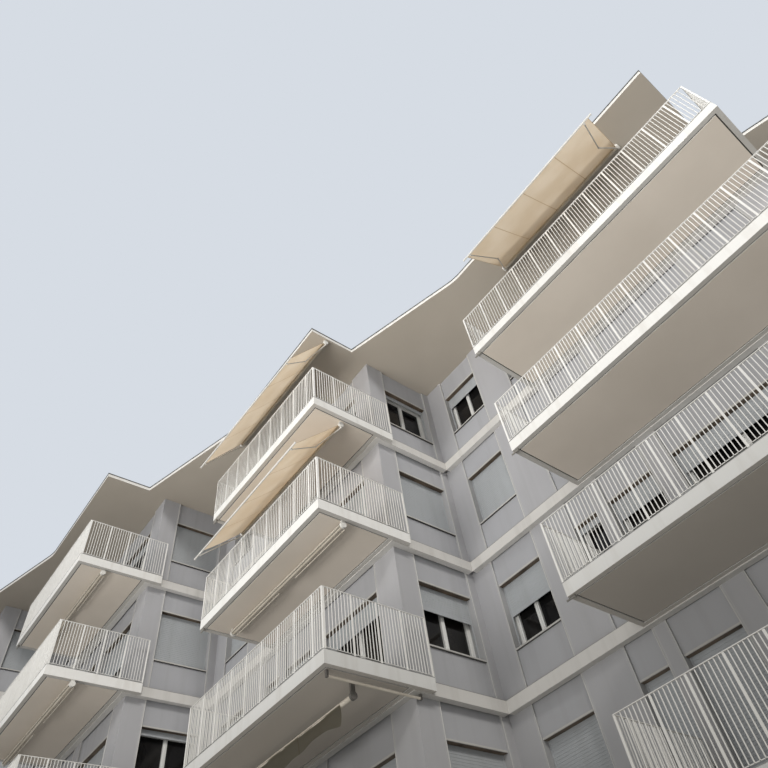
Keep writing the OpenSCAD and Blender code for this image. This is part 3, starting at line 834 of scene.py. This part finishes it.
# Awnings
# Cream acrylic canvas, sewn from strips, on steel rollers under the ceilings, between round
# enamelled caps. Three are let out on folding arms with their edge in an enamelled front
# bar. The others are rolled up behind theirs, and one hangs loose under its roller.
canvas_cream = srgb(243, 233, 218)
canvas_shade = srgb(230, 216, 195)
canvas_soiled_and_shaded = srgb(128, 126, 112)
seam_brown = srgb(206, 186, 158)
rolled_cream_in_shade = srgb(214, 206, 192)
rolled_shade = srgb(182, 172, 154)
enamel_white = srgb(226, 224, 218)
enamel_worn = srgb(172, 168, 160)
soot_and_shade = srgb(62, 57, 52)
canvas_let_through = 0.8
canvas_strip = 1.2
seam_width = 0.022
canvas_thickness = 0.002
canvas_over_bar = 0.003
open_sag = 0.02
open_pull = 0.02
lowest_sag = 0.035
lowest_pull = 0.24
side_curl = 0.02
side_curl_share = 0.03
crease_height = 0.018
crease_at = 0.86
crease_share = 0.07
loose_drop = 0.20
loose_wave = 0.05
loose_wave_length = 1.56
fold_depth = 0.028
fold_pitch = 0.52
end_curl = 0.05
end_curl_share = 0.02
edge_bar_overhang = 0.08
edge_bar_height = 0.04
edge_bar_depth = 0.03
edge_bar_bevel = 0.006
cap_rim = 0.004
cap_length = 0.016
cap_bevel = 0.003
roller_radius = 0.04
parked_bar_gap = 0.018
parked_bar_inset = 0.01
parked_bar_drop = 0.01
parked_arm_radius = 0.012
parked_arm_share = 0.42
parked_arm_inset = 0.03
parked_arm_gap = 0.03
parked_arm_drop = 0.045


def canvas_finish():
    """Woven canvas that lets most light through, with a darker double layer at each seam. The
    UV map counts the strips along the cloth. Painted shade, with soot and rain, darkens the canvas low on
    the house."""
    finish, tree, surface = new_finish("cream_canvas", canvas_cream, roughness=0.9)
    shade = tinted(tree, canvas_cream, canvas_shade, times(tree, noise(tree, 1.4, detail=6), 0.5))
    where = tree.nodes.new("ShaderNodeUVMap")
    where.uv_map = "cloth"
    parts = tree.nodes.new("ShaderNodeSeparateXYZ")
    along = tree.nodes.new("ShaderNodeMath")
    along.operation = "PINGPONG"
    along.inputs[1].default_value = 0.5
    seam = tree.nodes.new("ShaderNodeMath")
    seam.operation = "LESS_THAN"
    seam.inputs[1].default_value = seam_width / 2 / canvas_strip
    tree.links.new(where.outputs["UV"], parts.inputs["Vector"])
    tree.links.new(parts.outputs["X"], along.inputs[0])
    tree.links.new(along.outputs[0], seam.inputs[0])
    shade = tinted(tree, shade, seam_brown, times(tree, seam.outputs[0], 0.75))
    # Darker low on the house: painted shade, with soot and rain.
    shade = tinted(tree, shade, canvas_soiled_and_shaded, dust_and_painted_shade(tree, top=8.5, bottom=6.2, share=0.75))
    tree.links.new(shade, surface.inputs["Base Color"])
    grain(tree, surface, noise(tree, 900, low=0.2, high=0.8), depth=0.0005)
    through = tree.nodes.new("ShaderNodeBsdfTranslucent")
    either = tree.nodes.new("ShaderNodeMixShader")
    either.inputs["Fac"].default_value = canvas_let_through
    tree.links.new(shade, through.inputs["Color"])
    tree.links.new(surface.outputs["BSDF"], either.inputs[1])
    tree.links.new(through.outputs["BSDF"], either.inputs[2])
    tree.links.new(either.outputs[0], tree.nodes["Material Output"].inputs["Surface"])
    return finish


def enamel(name, colour, worn, roughness, patch_scale, patch_share, soot_and_shade_share=0.0):
    """Enamel with worn patches and a faint grain, darker low on the house from painted shade and soot."""
    finish, tree, surface = new_finish(name, colour, roughness)
    patches = times(tree, noise(tree, patch_scale, detail=6), patch_share)
    shade = tinted(tree, colour, worn, patches)
    # Painted shade, with soot, darkens it low on the house.
    if soot_and_shade_share:
        shade = tinted(tree, shade, soot_and_shade, dust_and_painted_shade(tree, top=7.5, bottom=6.3, share=soot_and_shade_share))
    tree.links.new(shade, surface.inputs["Base Color"])
    grain(tree, surface, noise(tree, 60, low=0.3, high=0.7), depth=0.0004)
    return finish


def points_of(node):
    """Corners of each separate solid of a CAD node, from a merged copy."""
    shape = bmesh.new()
    shape.from_mesh(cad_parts[node].data)
    bmesh.ops.remove_doubles(shape, verts=shape.verts, dist=same_point)
    boxes = solids(node)
    found = [[] for _ in boxes]
    for vert in shape.verts:
        for n, (low, high) in enumerate(boxes):
            if all(low[k] - same_point <= vert.co[k] <= high[k] + same_point for k in range(3)):
                found[n].append(vert.co.copy())
                break
    shape.free()
    return found


def end_centres(points):
    """Middle of the left and of the right end of a bar that runs about along X."""
    end_zone = 0.05
    lowest, highest = min(p.x for p in points), max(p.x for p in points)
    left = [p for p in points if p.x < lowest + end_zone]
    right = [p for p in points if p.x > highest - end_zone]
    return sum(left, Vector()) / len(left), sum(right, Vector()) / len(right)


def bar_between(name, left, right, depth, height, bevel):
    """Bar with its edges taken off from one point to another, its depth square to Z."""
    along = (right - left).normalized()
    outward = Vector((0, 0, 1)).cross(along).normalized()
    length = (right - left).length
    bar = bar_block(name, (0, -depth / 2, -height / 2), (length, depth / 2, height / 2), bevel)
    turn = Matrix((along, outward, along.cross(outward))).transposed().to_4x4()
    return moved(bar, Matrix.Translation(left) @ turn)


def canvas_piece(name, at, columns, rows, strips):
    """Closed sheet of canvas through at(u, v), which gives a point for u along the roller and
    v out from it, both from 0 to 1. Returns the piece, its width, its length and its area."""
    cloth = bmesh.new()
    layer = cloth.loops.layers.uv.new("cloth")
    grid = [
        [cloth.verts.new(at(c / columns, r / rows)) for c in range(columns + 1)] for r in range(rows + 1)
    ]
    for r in range(rows):
        for c in range(columns):
            corners = ((r, c), (r, c + 1), (r + 1, c + 1), (r + 1, c))
            face = cloth.faces.new([grid[a][b] for a, b in corners])
            for loop, (a, b) in zip(face.loops, corners):
                loop[layer].uv = (b / columns * strips, a / rows)
            face.smooth = True
    widths = [sum((b.co - a.co).length for a, b in zip(row, row[1:])) for row in grid]
    lengths = [sum((b.co - a.co).length for a, b in zip(line, line[1:])) for line in zip(*grid)]
    area = sum(face.calc_area() for face in cloth.faces)
    mesh = bpy.data.meshes.new(name)
    cloth.to_mesh(mesh)
    cloth.free()
    piece = bpy.data.objects.new(name, mesh)
    bpy.context.scene.collection.objects.link(piece)
    bpy.ops.object.select_all(action="DESELECT")
    piece.select_set(True)
    bpy.context.view_layer.objects.active = piece
    body = piece.modifiers.new("body", "SOLIDIFY")
    body.thickness = canvas_thickness
    body.offset = 0
    bpy.ops.object.modifier_apply(modifier=body.name)
    return piece, max(widths), max(lengths), area


canvas = canvas_finish()
# The rolled cloth is the same canvas, coloured greyer than the open ones as painted shade.
rolled_canvas_in_shade, tree, surface = new_finish("rolled_canvas_in_shade", rolled_cream_in_shade, roughness=0.9)
shade = tinted(tree, rolled_cream_in_shade, rolled_shade, times(tree, noise(tree, 2.5), 0.6))
tree.links.new(shade, surface.inputs["Base Color"])
grain(tree, surface, noise(tree, 900, low=0.2, high=0.8), depth=0.0005)
arm_enamel = enamel("arm_enamel", enamel_white, enamel_worn, 0.4, patch_scale=12, patch_share=0.3)
bracket_enamel = enamel(
    "bracket_enamel", enamel_white, enamel_worn, 0.4, patch_scale=12, patch_share=0.3, soot_and_shade_share=0.9
)
# The parked bars and arms, enamelled like the open ones, are coloured cream grey as painted shade.
parked_enamel_in_shade = enamel(
    "parked_enamel_in_shade", srgb(204, 196, 182), srgb(164, 156, 142), 0.5, patch_scale=9, patch_share=0.4
)
paint_nodes(rolled_canvas_in_shade, "awning_rollers")
paint_nodes(bracket_enamel, "awning_brackets")
paint_nodes(arm_enamel, "awning_arms")

rollers = solids("awning_rollers")
fronts = [end_centres(points) for points in points_of("awning_front_bars")]
fronts.sort(key=lambda ends: (ends[0].x, ends[0].z))
front_parts, open_rollers = [], []
for number, (bar_left, bar_right) in enumerate(fronts):
    along = (bar_right - bar_left).normalized()
    low, high = min(
        (r for r in rollers if r[0].z > bar_left.z),
        key=lambda r: abs(r[0].x - bar_left.x - edge_bar_overhang) + abs(r[0].z - bar_left.z),
    )
    open_rollers.append((low, high))
    axis_y, axis_z = (low.y + high.y) / 2, (low.z + high.z) / 2
    near_left = Vector((low.x, axis_y - roller_radius, axis_z))
    near_right = Vector((high.x, axis_y - roller_radius, axis_z))
    lift = Vector((0, 0, edge_bar_height / 2 + canvas_over_bar))
    far_left = bar_left + along * edge_bar_overhang + lift
    far_right = bar_right - along * edge_bar_overhang + lift
    ends = (near_left, near_right, far_left, far_right)
    is_lowest = number == 0
    sag, pull = (lowest_sag, lowest_pull) if is_lowest else (open_sag, open_pull)

    def at(u, v, ends=ends, sag=sag, pull=pull, creased=is_lowest):
        """Point of a let-out canvas: tight across, with a slight belly and its left side
        pulled in, and on the lowest one with creases near its right side."""
        left, right, out_left, out_right = ends
        point = left.lerp(right, u).lerp(out_left.lerp(out_right, u), v)
        belly = 4 * v * (1 - v)
        point.z -= sag * belly * (0.7 + 0.3 * math.sin(math.pi * u))
        point.x += pull * v * v * (1 - u) ** 4
        flutter = math.exp(-(u / side_curl_share)) + math.exp(-((1 - u) / side_curl_share))
        point.z += side_curl * belly * flutter
        if creased:
            crease = math.exp(-(((u - crease_at) / crease_share) ** 2)) * belly
            point.z += crease_height * crease * math.sin(9 * v + 26 * u)
        return point

    strips = max(2, round((high.x - low.x) / canvas_strip + 0.6))
    piece, width, length, area = canvas_piece(f"open_canvas_{number + 1}", at, 96, 28, strips)
    dress(piece, canvas)
    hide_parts("awning_cloths")
    front_parts.append(
        bar_between("bar", bar_left, bar_right, edge_bar_depth, edge_bar_height, edge_bar_bevel)
    )
    for tip, step in ((bar_left, along), (bar_right, -along)):
        start = tip - step * cap_rim
        front_parts.append(
            bar_between(
                "cap",
                start,
                start + step * cap_length,
                edge_bar_depth + 2 * cap_rim,
                edge_bar_height + 2 * cap_rim,
                cap_bevel,
            )
        )
front_bars = dress(join("awning_edge_bars", front_parts), arm_enamel)
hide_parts("awning_front_bars")

parked = []
cloth_boxes = solids("awning_cloths")
loose_low, loose_high = min(cloth_boxes, key=lambda box: box[1].y - box[0].y)
for low, high in rollers:
    along_the_side = high.y - low.y > high.x - low.x
    holds_loose_canvas = abs(low.x - loose_low.x) < 0.01 and abs(low.z - loose_high.z) < 0.1
    if (low, high) in open_rollers or along_the_side or holds_loose_canvas:
        continue
    axis_y, axis_z = (low.y + high.y) / 2, (low.z + high.z) / 2
    bar_y, bar_z = axis_y - roller_radius - parked_bar_gap, axis_z - parked_bar_drop
    bar_left = Vector((low.x + parked_bar_inset, bar_y, bar_z))
    bar_right = Vector((high.x - parked_bar_inset, bar_y, bar_z))
    parked.append(
        bar_between("bar", bar_left, bar_right, edge_bar_depth, edge_bar_height, edge_bar_bevel)
    )
    reach = (high.x - low.x) * parked_arm_share
    arm_y, arm_z = axis_y + roller_radius + parked_arm_gap, axis_z - parked_arm_drop
    for start, inward in ((low.x + parked_arm_inset, 1), (high.x - parked_arm_inset, -1)):
        centre = (start + inward * reach / 2, arm_y, arm_z)
        parked.append(round_bar(parked_arm_radius, reach, centre, sides=16))
dress(join("parked_bars_and_arms", parked), parked_enamel_in_shade)


def loose_at(u, v):
    """Point of the loose canvas: its lower edge waves, and soft folds grow downwards."""
    x = loose_low.x + u * (loose_high.x - loose_low.x)
    drop = loose_drop + loose_wave * math.cos(2 * math.pi * (x - loose_high.x) / loose_wave_length)
    drop += 0.02 * math.cos(5.2 * x)
    fold = fold_depth * v * math.sin(2 * math.pi * x / fold_pitch + 0.8 * math.sin(2.1 * x))
    fold *= 0.6 + 0.4 * math.sin(1.7 * x)
    curl = end_curl * v * v * math.exp(-((1 - u) / end_curl_share))
    y = (loose_low.y + loose_high.y) / 2 - roller_radius * (1 - v) ** 3 + fold
    return Vector((x - curl, y, loose_high.z + roller_radius * 0.9 * (1 - v) ** 3 - v * drop))


piece, width, length, area = canvas_piece("loose_canvas", loose_at, 160, 18, 3)
dress(piece, canvas)
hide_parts("awning_cloths")


# Floor, background and light
# A pale floor under an even pale sky, a broad soft lamp low before the fronts that reaches
# under the balconies and leaves the floor alone, and a soft sun from the front right.
bpy.ops.object.select_all(action="DESELECT")
bpy.ops.mesh.primitive_plane_add(size=600, location=(0, 0, -0.002))
ground = bpy.context.object
ground.name = "studio_floor"
ground_finish, tree, surface = new_finish("studio_floor", srgb(198, 197, 195), roughness=0.9)
ground.data.materials.append(ground_finish)

world = bpy.data.worlds.new("studio")
bpy.context.scene.world = world
world.use_nodes = True
tree = world.node_tree
tree.nodes.clear()
seen = tree.nodes.new("ShaderNodeBackground")
seen.inputs["Color"].default_value = (*srgb(214, 220, 228), 1)
seen.inputs["Strength"].default_value = 1
lit = tree.nodes.new("ShaderNodeBackground")
lit.inputs["Color"].default_value = (0.98, 0.99, 1.0, 1)
lit.inputs["Strength"].default_value = 0.6
path = tree.nodes.new("ShaderNodeLightPath")
plain_view = tree.nodes.new("ShaderNodeMath")
plain_view.operation = "MAXIMUM"
either = tree.nodes.new("ShaderNodeMixShader")
out = tree.nodes.new("ShaderNodeOutputWorld")
bent_view = tree.nodes.new("ShaderNodeMath")
bent_view.operation = "MAXIMUM"
tree.links.new(path.outputs["Is Transmission Ray"], bent_view.inputs[0])
tree.links.new(path.outputs["Is Glossy Ray"], bent_view.inputs[1])
tree.links.new(path.outputs["Is Camera Ray"], plain_view.inputs[0])
tree.links.new(bent_view.outputs[0], plain_view.inputs[1])
tree.links.new(plain_view.outputs[0], either.inputs["Fac"])
tree.links.new(lit.outputs[0], either.inputs[1])
tree.links.new(seen.outputs[0], either.inputs[2])
tree.links.new(either.outputs[0], out.inputs["Surface"])

sun = bpy.data.lights.new("soft_key", "SUN")
sun.energy = 1.25
sun.angle = math.radians(14)
sun.color = (1.0, 0.97, 0.93)
key_lamp = bpy.data.objects.new("soft_key", sun)
bpy.context.scene.collection.objects.link(key_lamp)
key_lamp.rotation_euler = Vector((-0.75, 0.36, -0.55)).to_track_quat("-Z", "Y").to_euler()

front = bpy.data.lights.new("low_front", "AREA")
front.shape = "RECTANGLE"
front.size = 30
front.size_y = 4
front.energy = 1270
front.spread = math.radians(68)
front.color = (1.0, 0.98, 0.95)
front_lamp = bpy.data.objects.new("low_front", front)
bpy.context.scene.collection.objects.link(front_lamp)
front_lamp.location = (12, -25, 2.2)
front_lamp.rotation_euler = Vector((0, 0.8, 0.6)).to_track_quat("-Z", "Y").to_euler()
front_lamp.visible_camera = False
front_lamp.visible_glossy = False
floor_alone = bpy.data.collections.new("floor_alone")
floor_alone.objects.link(ground)
front_lamp.light_linking.receiver_collection = floor_alone
floor_alone.collection_objects[0].light_linking.link_state = "EXCLUDE"


# Camera
# It stands on the street before the second bay from the right and looks steeply up, rolled
# by some 11 degrees. Its place, turn and lens come from a fit to corners in the photograph.
camera_at = Vector((11.493, -12.693, 1.567))
looks_along = Vector((-0.4315, 0.4590, 0.7767))
up_in_picture = Vector((0.6661, -0.4185, 0.6174))
camera_data = bpy.data.cameras.new("street_camera")
camera_data.sensor_width = 36
camera_data.lens = 29.785
camera_data.shift_x = -0.0144
camera_data.shift_y = -0.0095
camera_data.clip_end = 400
camera = bpy.data.objects.new("street_camera", camera_data)
bpy.context.scene.collection.objects.link(camera)
back = -looks_along.normalized()
right = up_in_picture.cross(back).normalized()
up = back.cross(right)
camera.matrix_world = Matrix.Translation(camera_at) @ Matrix((right, up, back)).transposed().to_4x4()
bpy.context.scene.camera = camera
bpy.context.scene.view_settings.view_transform = "Standard"
